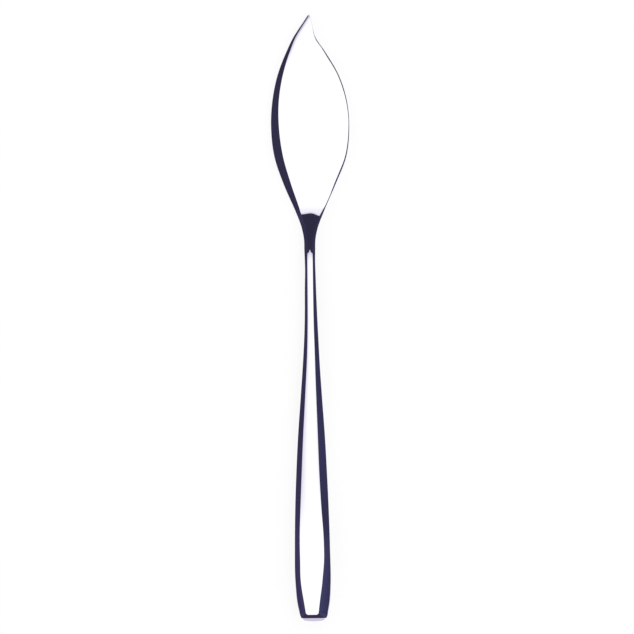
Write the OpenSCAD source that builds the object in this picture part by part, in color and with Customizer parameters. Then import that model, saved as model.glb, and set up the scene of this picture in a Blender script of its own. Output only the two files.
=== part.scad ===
// Fish knife of mirror-polished stainless steel with a hollow handle.
// It lies on the back facet of its handle. +Y runs from the butt to the tip,
// +X points to the back of the blade, and +Z rises through the front of the
// knife. The origin is under the middle of the knife's outer box.
// The handle is two half shells that meet face to face halfway up. The blade,
// its neck and its tang are one forging, and the tang is bedded in cement.

/* [Blade] */
// Length of the blade from its root to its tip
blade_len = 68.4; // [60:0.1:76]
// Reach of the curved edge from the knife's centre line
belly_w = 13.2; // [11:0.1:15]
// Reach of the back from the knife's centre line
back_w = 13.9; // [12:0.1:16]
// Thickness of the blade at its root
root_t = 1.5; // [1.3:0.05:1.9]
// Thickness of the blade at its tip
tip_t = 0.9; // [0.75:0.05:1.1]
// Thickness left along the blunt edge
edge_t = 0.45; // [0.3:0.05:0.6]
// Greatest width of the ground bevel along the edge
bevel_w = 3; // [2.2:0.05:3.4]
// Steepest angle of that bevel, which it has near the tip
bevel_slope = 27; // [20:1:35]
// Greatest width of the grind along the back of the blade
back_break = 0.5; // [0.36:0.02:0.6]
// Width of the blade at its very tip
tip_w = 0.5; // [0.3:0.05:0.8]
// How far the tip leans from the centre line to the back
tip_lean = 0.2; // [0:0.05:0.8]

/* [Neck] */
// Length of the slope and neck between the blade and the handle
neck_len = 13.1; // [11:0.1:17]
// Width of the knife at its narrowest place
neck_w = 3.5; // [3.2:0.05:4.4]
// Thickness of the knife where the neck enters the handle
neck_t = 4.6; // [4.2:0.05:5.4]
// Width of the flat facets at the neck
neck_facet_w = 2; // [1.6:0.05:2.3]

/* [Handle] */
// Length of the handle
handle_len = 128.5; // [112:0.5:140]
// Greatest width of the handle
handle_w = 12.3; // [10.8:0.1:14]
// Thickness of the handle at its butt
butt_t = 7.2; // [6.4:0.1:8.2]
// Greatest width of the flat facets
facet_w = 8.4; // [7.4:0.1:9]
// Mean angle of the sloping sides below the facets
side_slope = 40; // [34:1:43]
// Width of the bowed end of the butt
end_w = 6; // [5.2:0.1:7]
// How far the end of the butt bows out
end_bow = 0.25; // [0.15:0.01:0.4]
// Distance from the butt's outermost point to the start of its round corners
end_corner = 2.2; // [1.9:0.05:2.6]
// Distance from the butt's outermost point to the upper line of its lip
lip_w = 1; // [0.8:0.02:1.2]
// Angle of the lip's slope
lip_slope = 43.5; // [40:0.5:48]
// Width of the sloping band between the lip and the facet's end
end_band = 1.2; // [0.9:0.05:1.5]
// Angle of that sloping band
end_slope = 26; // [20:1:34]
// Wall of the pressed half shells
wall = 0.5; // [0.4:0.02:0.55]

/* [Tang and filling] */
// Length of the tang inside the handle
tang_len = 58; // [45:0.5:70]
// Width of the tang
tang_w = 1.9; // [1.4:0.05:2]
// Thickness of the tang
tang_t = 2.4; // [1.8:0.05:2.6]
// Depth of the keying notches in the sides of the tang
notch_depth = 0.35; // [0.2:0.01:0.5]
// Length of one keying notch
notch_len = 3; // [2:0.1:4]
// Number of notches along each side of the tang
notch_count = 4; // [2:1:5]
// Length of the balance weight
weight_len = 44; // [34:0.5:54]
// Width of the balance weight
weight_w = 6; // [5:0.1:7]
// Thickness of the balance weight
weight_t = 3; // [2.4:0.1:3.6]
// Distance from the balance weight to the inside of the butt
weight_gap = 6; // [4:0.5:9]

/* [Hidden] */

// Rows of facets along the blade, the neck, the handle, its corner and end
blade_rows = 46;
neck_rows = 14;
side_rows = 40;
corner_rows = 6;
end_rows = 3;
outline_steps = 12;

knife_len = blade_len + neck_len + handle_len;
butt_y = -knife_len / 2;
mouth_y = butt_y + handle_len;
root_y = mouth_y + neck_len;
tip_y = root_y + blade_len;
// The centre line stands aside so that the outer box is centred on the origin
axis_x = (belly_w - back_w) / 2;
blade_z = neck_t / 2;

// Places along the handle from butt to mouth, and how far the half width has
// grown there from the neck's to the handle's greatest
handle_place_shares = [0.015, 0.05, 0.1, 0.2, 0.3, 0.4, 0.5, 0.6, 0.7, 0.8, 0.9, 0.965];
handle_width_shares = [0.668, 0.887, 0.998, 0.991, 0.926, 0.812, 0.661, 0.454, 0.258, 0.119, 0.047, 0.012];
// Places along the neck from mouth to root, and half widths there
neck_place_shares = [0, 0.3, 0.6];
neck_width_shares = [1.06, 1.14, 1.62];
// Places along the blade from root to tip, and there the reach of the edge and
// of the back, and the widths of the bevel and of the grind along the back
blade_place_shares = [0, 0.14, 0.28, 0.42, 0.56, 0.7, 0.82, 0.89, 0.95];
edge_shares = [0.364, 0.674, 0.914, 0.997, 0.962, 0.809, 0.564, 0.384, 0.178];
back_shares = [0.345, 0.647, 0.92, 1, 0.951, 0.737, 0.394, 0.17, 0.097];
bevel_shares = [0.512, 0.836, 0.99, 0.909, 0.74, 0.585, 0.353, 0.203, 0.116, 0.077];
break_shares = [0.5, 0.9, 0.8, 0.46, 0.5, 0.72, 0.7, 0.32, 0.08, 0.1];
// Places along the handle, and how far the facet's half width has grown there
facet_place_shares = [0.02, 0.05, 0.1, 0.16, 0.23, 0.3, 0.4, 0.5, 0.6, 0.7, 0.8, 0.9, 1];
facet_width_shares = [0.38, 0.543, 0.834, 0.99, 0.988, 0.846, 0.656, 0.495, 0.313, 0.146, 0.034, 0.003, 0];
// The sloping sides are gently round: steps inward and the rise at each
side_in_shares = [0, 0.3, 0.65, 1];
side_up_shares = [0, 0.31, 0.66, 1];
// Largest part of the blade's width that its bevel and its grind may take
bevel_limit_share = 0.4;
break_limit_share = 0.2;
// Deepest grind along the back, as a share of the half thickness there
break_depth_share = 0.62;
// Where the neck's right side begins to narrow into that grind, before the
// root, and how long it takes, as shares of the neck's length
open_share = 0.1;
open_len_share = 0.29;
// Highest part of the shoulder's height that the foot of the lip may have
foot_share = 0.9;
// Radius of the facet's corners at the butt, as a share of the facet's width
facet_corner_share = 0.06;
// How far the back facet is first drawn past its plane before it is cut flat
cut_share = 0.3;
// Length of the tang's narrowed end, and the part of its width left there
tang_point_share = 0.12;
tang_tip_share = 0.4;
// Points of a quarter of the tang's section, a bar with broken corners
tang_corner_shares = [[1, 0.7], [0.75, 1], [0.5, 1], [0.25, 1]];
// How far cuts run past what they cut, and what counts as no distance at all
overrun = 0.5;
no_gap = 0.001;

// A smooth curve through points [place, value], with its slope at each point
function rise(p, i) = (p[i + 1][1] - p[i][1]) / (p[i + 1][0] - p[i][0]);
function run(p, i) = p[i + 1][0] - p[i][0];
function inner_slope(p, i) =
    (run(p, i - 1) * rise(p, i) + run(p, i) * rise(p, i - 1)) / (run(p, i - 1) + run(p, i));
function slope(p, i) =
    i == 0 ? 2 * rise(p, 0) - inner_slope(p, 1)
    : i == len(p) - 1 ? 2 * rise(p, i - 1) - inner_slope(p, i - 1)
    : inner_slope(p, i);
function span_of(p, at, i = 0) = i >= len(p) - 2 || at < p[i + 1][0] ? i : span_of(p, at, i + 1);
function curve(p, at) =
    let (i = span_of(p, at), s = run(p, i), t = (at - p[i][0]) / s)
    (1 + 2 * t) * (1 - t) * (1 - t) * p[i][1] + t * (1 - t) * (1 - t) * s * slope(p, i)
    + t * t * (3 - 2 * t) * p[i + 1][1] - t * t * (1 - t) * s * slope(p, i + 1);
function mix(a, b, t) = a + (b - a) * t;
function bezier(a, b, c, t) = mix(mix(a, b, t), mix(b, c, t), t);
function ease(t) = let (c = max(0, min(1, t))) c * c * (3 - 2 * c);
function unit(way) = way / norm(way);

// The knife's two side lines, each one curve from butt to tip
handle_line = [for (i = [0 : len(handle_place_shares) - 1])
    [butt_y + handle_place_shares[i] * handle_len, mix(neck_w, handle_w, handle_width_shares[i]) / 2]];
neck_line = [for (i = [0 : len(neck_place_shares) - 1])
    [mouth_y + neck_place_shares[i] * neck_len, neck_width_shares[i] * neck_w / 2]];
function blade_line(reach, shares, end) = concat(
    [for (i = [0 : len(blade_place_shares) - 1])
        [root_y + blade_place_shares[i] * blade_len, shares[i] * reach]],
    [[tip_y, end]]);
edge_line = concat(handle_line, neck_line, blade_line(belly_w, edge_shares, tip_w / 2 - tip_lean));
back_line = concat(handle_line, neck_line, blade_line(back_w, back_shares, tip_w / 2 + tip_lean));
bevel_line = blade_line(bevel_w, bevel_shares, bevel_shares[len(bevel_shares) - 1] * bevel_w);
break_line = blade_line(back_break, break_shares, break_shares[len(break_shares) - 1] * back_break);
facet_line = [for (i = [0 : len(facet_place_shares) - 1])
    [butt_y + facet_place_shares[i] * handle_len, mix(neck_facet_w, facet_w, facet_width_shares[i]) / 2]];

// Half width of the facet and half thickness at a place along the handle
function facet_half(y) = curve(facet_line, y);
function thick(y) = mix(butt_t, neck_t, (y - butt_y) / handle_len);

// How far a place lies from the mouth (0) to the root (1), and along the blade
function neck_part(y) = min(1, (y - mouth_y) / neck_len);
function blade_part(y) = max(0, (y - root_y) / blade_len);
function half_thick(y) =
    mix(mix(neck_t, root_t, neck_part(y)), tip_t, blade_part(y)) / 2;
mouth_side = curve(edge_line, mouth_y) - facet_half(mouth_y);
open_y = root_y - open_share * neck_len;

// One side of a blade section: [distance from the centre line, height] from
// the shoulder to the flat, with a share of the handle's roundness
function side_points(out, wide, shoulder, top, round) =
    [for (j = [0 : len(side_in_shares) - 1])
        [out - wide * side_in_shares[j],
         mix(shoulder, top, mix(side_in_shares[j], side_up_shares[j], round))]];
function section(y) =
    let (edge = curve(edge_line, y), back = curve(back_line, y), n = neck_part(y), top = half_thick(y),
         bevel = min(curve(bevel_line, max(y, root_y)), bevel_limit_share * (edge + back)),
         grind = min(curve(break_line, max(y, root_y)), break_limit_share * (edge + back)),
         wide = mix(mouth_side, bevel, n),
         narrow = mix(mouth_side, grind, ease((y - open_y) / (open_len_share * neck_len))),
         left = side_points(edge, wide, max(edge_t / 2, top - wide * tan(n < 1 ? side_slope : bevel_slope)),
             top, 1 - n),
         right = side_points(back, narrow, top - min(narrow * tan(side_slope), break_depth_share * top),
             top, 1 - n),
         last = len(side_in_shares) - 1)
    concat([for (j = [0 : last]) [axis_x + right[j][0], y, blade_z + right[j][1]]],
        [for (j = [last : -1 : 0]) [axis_x - left[j][0], y, blade_z + left[j][1]]],
        [for (j = [0 : last]) [axis_x - left[j][0], y, blade_z - left[j][1]]],
        [for (j = [last : -1 : 0]) [axis_x + right[j][0], y, blade_z - right[j][1]]]);

// Triangles that join row a to row b, each of n points, as a closed band
function band(a, b, n) = [for (j = [0 : n - 1]) let (k = (j + 1) % n)
    each [[a + j, b + k, b + j], [a + j, a + k, b + k]]];
// Two triangles of a four-sided face, turned over where wanted
function patch(p, q, r, s, over = false) = over ? [[p, r, q], [p, s, r]] : [[p, q, r], [p, r, s]];

// Side of the tang from its end to the mouth, as [half width, y]
tang_end_y = mouth_y - tang_len;
tang_point_y = tang_end_y + tang_point_share * tang_len;
function notch_y(k) = mix(tang_point_y, mouth_y, k / (notch_count + 1));
tang_side = concat([[tang_tip_share * tang_w / 2, tang_end_y], [tang_w / 2, tang_point_y]],
    [for (k = [1 : notch_count]) each
        [[tang_w / 2, notch_y(k) - notch_len / 2],
         [tang_w / 2 - notch_depth, notch_y(k) - notch_len / 4],
         [tang_w / 2 - notch_depth, notch_y(k) + notch_len / 4],
         [tang_w / 2, notch_y(k) + notch_len / 2]]]);
function tang_section(half, y) =
    let (p = [for (c = tang_corner_shares) [c[0] * half, c[1] * tang_t / 2]], last = len(p) - 1)
    concat([for (j = [0 : last]) [axis_x + p[j][0], y, blade_z + p[j][1]]],
        [for (j = [last : -1 : 0]) [axis_x - p[j][0], y, blade_z + p[j][1]]],
        [for (j = [0 : last]) [axis_x - p[j][0], y, blade_z - p[j][1]]],
        [for (j = [last : -1 : 0]) [axis_x + p[j][0], y, blade_z - p[j][1]]]);
function tang_sections(end) = concat([for (p = tang_side) tang_section(p[0], p[1])],
    [tang_section(tang_w / 2, end)]);

// An end face, in strips between the front half and the back half of a section
function end_face(start, n, over) = [for (j = [0 : n / 2 - 2])
    each patch(start + j, start + j + 1, start + n - 2 - j, start + n - 1 - j, over)];
// Solid through a list of sections that have the same number of points
module loft(sections) {
    n = len(sections[0]);
    rows = len(sections);
    polyhedron(
        points = [for (s = sections) each s],
        faces = concat([for (i = [0 : rows - 2]) each band(i * n, (i + 1) * n, n)],
            end_face(0, n, true), end_face((rows - 1) * n, n, false)));
}

// Outline of the butt's right half as [x, y from the butt], from its side,
// round the corner, to the middle
facet_end = lip_w + end_band;
facet_corner = facet_corner_share * facet_w;
fan_y = max(facet_end + facet_corner, end_corner);
corner_half = curve(edge_line, butt_y + end_corner);
side_lean = slope(edge_line, 0);
bow_lean = 4 * end_bow / end_w;
corner_run = (corner_half - end_w / 2 - side_lean * (end_corner - end_bow)) / (1 - side_lean * bow_lean);
corner_tip = [end_w / 2 + corner_run, end_bow + bow_lean * corner_run];
function bow(x) = end_bow * pow(2 * x / end_w, 2);
end_outline = concat(
    [for (k = [0 : outline_steps - 1]) let (y = mix(fan_y, end_corner, k / outline_steps))
        [curve(edge_line, butt_y + y), y]],
    [for (k = [0 : outline_steps - 1])
        bezier([corner_half, end_corner], corner_tip, [end_w / 2, end_bow], k / outline_steps)],
    [for (k = [0 : outline_steps]) let (x = end_w / 2 * (1 - k / outline_steps)) [x, bow(x)]]);
// Round the facet's corner the rows fan out from this point to the outline
fan = [facet_half(butt_y + fan_y) - facet_corner, fan_y];
fan_reach = [for (p = end_outline) [atan2(fan[1] - p[1], p[0] - fan[0]), norm(p - fan)]];

// Points of row i at three heights: parting line, shoulder and facet. The rows
// run from the mouth along the side (turn 0), round the corner, and along the
// end (turn 1) to its middle.
rows_half = side_rows + corner_rows + end_rows;
function fan_turn(i) = max(0, min(1, (i - side_rows) / corner_rows));
function fan_way(i) = [cos(90 * fan_turn(i)), -sin(90 * fan_turn(i))];
function side_y(i) = mix(handle_len, fan_y, i / side_rows);
function end_x(i) = fan[0] * (rows_half - i) / end_rows;
function shoulder_point(i) =
    i <= side_rows ? [curve(edge_line, butt_y + side_y(i)), side_y(i)]
    : i <= side_rows + corner_rows
    ? fan + fan_way(i) * min(lookup(90 * fan_turn(i), fan_reach), (fan_y - lip_w) / sin(90 * fan_turn(i)))
    : [end_x(i), lip_w];
function part_point(i) =
    let (h = shoulder_point(i))
    i <= side_rows || h[1] > lip_w + no_gap ? h : [h[0], lookup(h[0], end_outline)];
function facet_point(i) =
    i <= side_rows ? [facet_half(butt_y + side_y(i)), side_y(i)]
    : i <= side_rows + corner_rows ? fan + facet_corner * fan_way(i)
    : [end_x(i), fan_y - facet_corner];

// Loss of shoulder height and of facet width behind a wall of this thickness
function shoulder_loss(inset, angle) = inset * (1 / cos(angle) - tan(angle));
function facet_loss(inset, angle) = inset * (1 / cos(angle) - 1) / tan(angle);

// Points of one row from the parting line up to the facet, as [x, y, z] on the
// front (side 1) or on the back (side -1) of the handle. An inset draws them in
// for the inner wall. A plain wall rises to the foot of the lip.
levels = len(side_in_shares) + 2;
function handle_points(i, inset, side, beyond) =
    let (s0 = part_point(i), h0 = shoulder_point(i), f0 = facet_point(i), way = unit(f0 - h0),
         angle = mix(side_slope, end_slope, fan_turn(i)),
         s = s0 + inset * unit(f0 - s0), h = h0 + inset * way, f = f0 + facet_loss(inset, angle) * way,
         mid = [for (p = [s, h, f]) thick(butt_y + p[1]) / 2],
         top = mid[2] - inset,
         low = thick(butt_y + h0[1]) / 2 - norm(h0 - f0) * tan(angle) - shoulder_loss(inset, angle),
         foot = min(low - norm(h - s) * tan(lip_slope), foot_share * low),
         last = len(side_in_shares) - 1)
    concat([for (z = [0, foot]) [s[0], butt_y + s[1], mid[0] + side * z]],
        [for (j = [0 : last])
            let (u = j < last ? side_in_shares[j] : 1 + beyond * (1 - side_in_shares[last - 1]),
                 v = j < last ? side_up_shares[j] : 1 + beyond * (1 - side_up_shares[last - 1]),
                 p = mix(h, f, u))
            [p[0], butt_y + p[1], mix(mid[1], mid[2], u) + side * mix(low, top, v)]]);
// Whole outline: the right side to the middle of the butt, then the left side
turns = 2 * rows_half;
function outline_points(inset, side, beyond = 0) = [for (i = [0 : turns])
    let (right = i <= rows_half)
    each [for (p = handle_points(right ? i : turns - i, inset, side, beyond))
        [axis_x + (right ? p[0] : -p[0]), p[1], p[2]]]];
// Faces of such an outline: its sloping sides, then the flat facet they hold
function skin(start, over) = concat(
    [for (i = [0 : turns - 1]) each [for (j = [0 : levels - 2])
        let (a = start + i * levels + j, b = a + levels) each patch(a, b, b + 1, a + 1, over)]],
    [for (i = [0 : side_rows - 1])
        let (a = start + i * levels + levels - 1, c = start + (turns - i) * levels + levels - 1)
        each patch(a, a + levels, c - levels, c, over)],
    [for (i = [side_rows + 1 : turns - side_rows - 1])
        let (a = start + side_rows * levels + levels - 1, b = start + i * levels + levels - 1)
        over ? [a, b + levels, b] : [a, b, b + levels]]);

// One pressed half shell: an outer skin, an inner skin and the faces between
module half_shell(side, beyond) {
    over = side < 0;
    count = (turns + 1) * levels;
    polyhedron(
        points = concat(outline_points(0, side, beyond), outline_points(wall, side)),
        faces = concat(skin(0, over), skin(count, !over),
            [for (i = [0 : turns - 1]) let (a = i * levels, b = a + count)
                each patch(a, b, b + levels, a + levels, over)],
            [for (j = [0 : levels - 2]) each patch(j, j + 1, count + j + 1, count + j, over)],
            [for (j = [0 : levels - 2]) let (a = turns * levels + j)
                each patch(a, a + count, a + count + 1, a + 1, over)],
            patch(levels - 1, count - 1, 2 * count - 1, count + levels - 1, over)));
}

// The space inside the two shells, closed at the mouth by strips across it
module cavity() {
    count = (turns + 1) * levels;
    left = turns * levels;
    polyhedron(
        points = concat(outline_points(wall, 1), outline_points(wall, -1)),
        faces = concat(skin(0, false), skin(count, true),
            [for (j = [0 : levels - 2]) each patch(j, j + 1, left + j + 1, left + j)],
            [for (j = [count : count + levels - 2]) each patch(j, j + 1, left + j + 1, left + j, true)]));
}

// Flat bar with round edges that lies along the wide end of the handle
weight_y = butt_y + wall + weight_gap + weight_len / 2;
module weight_bar() {
    translate([axis_x, weight_y, thick(weight_y) / 2])
        rotate([90, 0, 0])
            linear_extrude(height = weight_len, center = true) {
                square([weight_w - weight_t, weight_t], center = true);
                for (side = [-1, 1])
                    translate([side * (weight_w - weight_t) / 2, 0])
                        circle(d = weight_t, $fn = 48);
            }
}

// One forging: the tang, a shoulder that stops the shells, the neck, the blade
module blade() {
    places = concat([for (i = [0 : neck_rows - 1]) mouth_y + neck_len * i / neck_rows],
        [for (i = [0 : blade_rows]) root_y + blade_len * i / blade_rows]);
    color("gainsboro")
        loft(concat(tang_sections(mouth_y), [for (y = places) section(y)]));
}

module handle_front_shell() {
    color("gainsboro")
        half_shell(1, 0);
}

// The back facet is cut flat, because the knife rests on it
module handle_back_shell() {
    color("gainsboro")
        difference() {
            half_shell(-1, cut_share);
            translate([-handle_w, -knife_len, -butt_t])
                cube([2 * handle_w, 2 * knife_len, butt_t]);
        }
}

module handle_cement() {
    color("darkgray")
        difference() {
            cavity();
            loft(tang_sections(mouth_y + overrun));
            weight_bar();
        }
}

module balance_weight() {
    color("dimgray")
        weight_bar();
}

blade();
handle_front_shell();
handle_back_shell();
handle_cement();
balance_weight();
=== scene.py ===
import math

import bpy
import numpy as np
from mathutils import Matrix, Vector


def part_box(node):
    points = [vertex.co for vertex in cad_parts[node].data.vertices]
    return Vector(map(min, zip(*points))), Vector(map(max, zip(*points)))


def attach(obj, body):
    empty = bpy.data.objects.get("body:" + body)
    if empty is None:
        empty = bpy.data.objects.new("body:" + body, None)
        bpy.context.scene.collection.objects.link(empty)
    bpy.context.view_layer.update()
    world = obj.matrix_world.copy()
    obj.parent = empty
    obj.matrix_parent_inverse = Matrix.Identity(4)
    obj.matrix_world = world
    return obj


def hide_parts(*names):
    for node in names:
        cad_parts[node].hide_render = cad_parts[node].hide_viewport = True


# Fish knife: polished meshes for its three visible pieces, materials for all
# five, and the studio round them. The driving sizes repeat the source's.
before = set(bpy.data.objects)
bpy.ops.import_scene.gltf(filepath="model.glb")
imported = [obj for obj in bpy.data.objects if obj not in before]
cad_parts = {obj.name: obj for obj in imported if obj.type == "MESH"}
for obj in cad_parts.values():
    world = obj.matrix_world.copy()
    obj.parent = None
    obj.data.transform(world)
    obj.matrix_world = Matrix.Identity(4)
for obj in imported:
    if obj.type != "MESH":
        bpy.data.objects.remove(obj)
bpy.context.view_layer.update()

MM = 0.001

# Places that the frame holds, in millimetres
shell_low, shell_high = [np.array(c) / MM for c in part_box("handle_front_shell")]
BUTT_Y = shell_low[1]
MOUTH_Y = shell_high[1]
TIP_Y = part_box("blade")[1][1] / MM
AXIS_X = (shell_low[0] + shell_high[0]) / 2
HANDLE_LEN = MOUTH_Y - BUTT_Y

# Sizes of the knife's forms in millimetres, and slopes in degrees, as in the
# part's own source
NECK_LEN = 13.1
ROOT_Y = MOUTH_Y + NECK_LEN
BLADE_LEN = TIP_Y - ROOT_Y
BELLY_W = 13.2
BACK_W = 13.9
ROOT_T = 1.5
TIP_T = 0.9
EDGE_T = 0.45
BEVEL_W = 3.0
TIP_W = 0.5
TIP_LEAN = 0.2
NECK_W = 3.5
NECK_T = 4.6
NECK_FACET_W = 2.0
HANDLE_W = 12.3
BUTT_T = 7.2
FACET_W = 8.4
SIDE_SLOPE = 40
END_SLOPE = 26
LIP_SLOPE = 43.5
END_W = 6.0
END_BOW = 0.25
END_CORNER = 2.2
WALL = 0.5
TANG_LEN = 58.0
TANG_W = 1.9
TANG_T = 2.4
NOTCH_DEPTH = 0.35
NOTCH_LEN = 3.0
NOTCH_COUNT = 4

# Two bands at the butt and the facet's corner there, up to half a millimetre
# off the source's, as the photograph shows them
LIP_W = 1.09
END_BAND = 1.19
FACET_CORNER = 1.0

# How far the polished outline stays inside the plain one, and the small
# roundings of the polished edges, in millimetres
POLISH = 0.003
SHOULDER_ROUND = 0.025
CREASE_ROUND = 0.06
# Largest shares of a slope's width that a rounding may take, on the handle and
# on the blade, and the largest share of the height of a slope's foot
HANDLE_ROUND_LIMIT = 0.2
BLADE_ROUND_LIMIT = 0.25
FOOT_ROUND_LIMIT = 0.8
# Roundness of the sloping sides and of the lip, as shares of their width
SIDE_BULGE = 0.012
LIP_BULGE = 0.01
# How many degrees gentler the lip's slope gets round the butt's corners, and
# the largest share of the shoulder's rise that the lip's foot may have
LIP_EASE = 20
FOOT_LIMIT = 0.9

# Fineness of the meshes: rows along the knife and steps across it
SIDE_ROWS = 260
CORNER_ROWS = 24
END_ROWS = 14
NECK_ROWS = 80
CREASE_ROWS = 50
ROOT_ROWS = 40
BLADE_ROWS = 280
WALL_STEPS = 5
ROUND_STEPS = 5
SLOPE_STEPS = 8
FLAT_STEPS = 43
OUTLINE_SIDE_STEPS = 120
OUTLINE_STEPS = 80
# Faces that meet at more than this many degrees keep a sharp edge
SHARP_ANGLE = 40


def mix(a, b, t):
    return a + (b - a) * t


def smooth_step(t):
    t = np.clip(t, 0, 1)
    return t * t * (3 - 2 * t)


def bezier(a, b, c, t):
    return mix(mix(a, b, t), mix(b, c, t), t)


def steep(degrees):
    return np.tan(np.radians(degrees))


def smooth_curve(places, values):
    """A curve through points, with the slope of the parabola through each three."""
    x, v = np.array(places, float), np.array(values, float)
    step = np.diff(x)
    rise = np.diff(v) / step
    slope = np.empty(len(x))
    slope[1:-1] = (step[:-1] * rise[1:] + step[1:] * rise[:-1]) / (step[:-1] + step[1:])
    slope[0] = 2 * rise[0] - slope[1]
    slope[-1] = 2 * rise[-1] - slope[-2]

    def at(y):
        y = np.asarray(y, float)
        i = np.clip(np.searchsorted(x, y, side="right") - 1, 0, len(step) - 1)
        t = (y - x[i]) / step[i]
        return ((1 + 2 * t) * (1 - t) ** 2 * v[i] + t * (1 - t) ** 2 * step[i] * slope[i]
                + t * t * (3 - 2 * t) * v[i + 1] - t * t * (1 - t) * step[i] * slope[i + 1])
    return at


def along_handle(shares):
    return [BUTT_Y + s * HANDLE_LEN for s in shares]


def along_neck(shares):
    return [MOUTH_Y + s * NECK_LEN for s in shares]


def along_blade(shares):
    return [ROOT_Y + s * BLADE_LEN for s in shares]


# Outline of the knife. Places are shares of a part's length, and reaches and
# widths are shares of the sizes above. The handle's widths and its facet's run
# from the neck's, at 0, to their own, at 1.
HANDLE_PLACES = [0.015, 0.05, 0.1, 0.2, 0.3, 0.4, 0.5, 0.6, 0.7, 0.8, 0.9, 0.965]
HANDLE_WIDTHS = [0.668, 0.887, 0.998, 0.991, 0.926, 0.812, 0.661, 0.454, 0.258, 0.119, 0.047, 0.012]
NECK_PLACES = [0, 0.3, 0.6]
NECK_WIDTHS = [1.087, 1.163, 1.62]
BLADE_PLACES = [0, 0.14, 0.28, 0.42, 0.56, 0.7, 0.82, 0.89, 0.95, 1]
EDGE_REACH = [0.364, 0.674, 0.914, 0.997, 0.962, 0.809, 0.564, 0.384, 0.178]
BACK_REACH = [0.345, 0.647, 0.92, 1, 0.951, 0.737, 0.394, 0.17, 0.097]
BEVEL_WIDTHS = [0.525, 0.852, 1.008, 0.926, 0.756, 0.6, 0.366, 0.222, 0.142, 0.11]
FACET_PLACES = [0.02, 0.05, 0.1, 0.16, 0.23, 0.3, 0.4, 0.5, 0.6, 0.7, 0.8, 0.9, 1]
FACET_WIDTHS = [0.38, 0.543, 0.834, 0.99, 0.988, 0.846, 0.656, 0.495, 0.313, 0.146, 0.034, 0.003, 0]

side_places = along_handle(HANDLE_PLACES) + along_neck(NECK_PLACES)
side_reach = ([mix(NECK_W, HANDLE_W, s) / 2 for s in HANDLE_WIDTHS]
              + [s * NECK_W / 2 for s in NECK_WIDTHS])


def knife_side(shares, reach, tip_half):
    """Outline of one side of the whole knife: handle, neck and its side of the blade."""
    blade_reach = [s * reach - POLISH for s in shares] + [tip_half]
    return smooth_curve(side_places + along_blade(BLADE_PLACES), side_reach + blade_reach)


edge_side = knife_side(EDGE_REACH, BELLY_W, TIP_W / 2 - TIP_LEAN)
back_side = knife_side(BACK_REACH, BACK_W, TIP_W / 2 + TIP_LEAN)
bevel_width = smooth_curve(along_blade(BLADE_PLACES), [s * BEVEL_W for s in BEVEL_WIDTHS])
facet_half = smooth_curve(along_handle(FACET_PLACES),
                          [mix(NECK_FACET_W, FACET_W, s) / 2 for s in FACET_WIDTHS])

# As in the photograph, the facets lie a little to the left of the handle's
# middle, and the outline of handle and neck sways a little to either side
SHIFT_PLACES = [0, 0.06, 0.12, 0.16, 0.21, 0.3, 0.4, 0.48, 0.56, 0.64, 0.72, 0.8, 0.9, 1]
SHIFTS = [0.2, 0.4, 0.41, 0.22, 0.26, 0.45, 0.5, 0.43, 0.29, 0.15, 0, 0, 0.04, 0.07]
facet_shift = smooth_curve(along_handle(SHIFT_PLACES), SHIFTS)
SWAY_PLACES = [0, 0.03, 0.09, 0.15, 0.25, 0.33, 0.42, 0.5,
               0.65, 0.78, 0.84, 0.89, 0.95, 0.975, 1.04, 1.09]
SWAYS = [0.33, 0.21, 0.125, 0, -0.075, -0.105, -0.095, -0.055,
         0.05, 0.155, 0.1, 0.01, -0.02, -0.085, -0.085, 0]
sway_curve = smooth_curve(along_handle(SWAY_PLACES), SWAYS)


def sway(y):
    return sway_curve(np.minimum(y, BUTT_Y + SWAY_PLACES[-1] * HANDLE_LEN))


# Fall of the facet's rims under its middle: a slight crown along the handle,
# and a round end at the mouth that fades out along the neck
CROWN_PLACES = [0, 0.12, 0.17, 0.24, 0.33, 0.45, 0.6, 0.8, 0.96]
CROWN_FALLS = [0.006, 0.01, 0.028, 0.055, 0.098, 0.09, 0.063, 0.033, 0.028]
MOUTH_WAYS = [-5.0, -2.2, -1.5, -0.8, -0.35, -0.12, 0]
MOUTH_FALLS = [0.028, 0.035, 0.042, 0.053, 0.078, 0.14, 0.25]
CROWN_FADE = 0.95 * NECK_LEN
crown_along = smooth_curve(along_handle(CROWN_PLACES), CROWN_FALLS)
crown_mouth = smooth_curve([MOUTH_Y + way for way in MOUTH_WAYS], MOUTH_FALLS)


def crown(y):
    y = np.asarray(y, float)
    inside = np.minimum(y, MOUTH_Y)
    fall = np.where(inside < MOUTH_Y + MOUTH_WAYS[0], crown_along(inside), crown_mouth(inside))
    return fall * np.clip(1 - (y - MOUTH_Y) / CROWN_FADE, 0, 1) ** 2


# The facets roll off gently towards the mouth
ROLL_LEN = 7.0
ROLL_SLOPE = 2.5


def mouth_roll(y):
    reach = np.clip((y - MOUTH_Y + ROLL_LEN) / ROLL_LEN, 0, 1)
    return steep(ROLL_SLOPE) * ROLL_LEN / 3 * reach ** 3


def thickness(y):
    return mix(BUTT_T, NECK_T, (y - BUTT_Y) / HANDLE_LEN)


def mesh_object(name, points, faces):
    mesh = bpy.data.meshes.new(name)
    mesh.from_pydata([tuple(p) for p in np.asarray(points) * MM], [], faces)
    mesh.polygons.foreach_set("use_smooth", [True] * len(mesh.polygons))
    mesh.set_sharp_from_angle(angle=math.radians(SHARP_ANGLE))
    mesh.update()
    obj = bpy.data.objects.new(name, mesh)
    bpy.context.scene.collection.objects.link(obj)
    return obj


# The handle's half shells. A half outline runs from the mouth along one side,
# round the corner, to the middle of the butt; y counts from the butt.
FACET_END = LIP_W + END_BAND
# How far from the butt the outline is followed point by point
OUTLINE_FROM = 4 * END_CORNER


def bow(x):
    return END_BOW * (2 * x / END_W) ** 2


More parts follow.
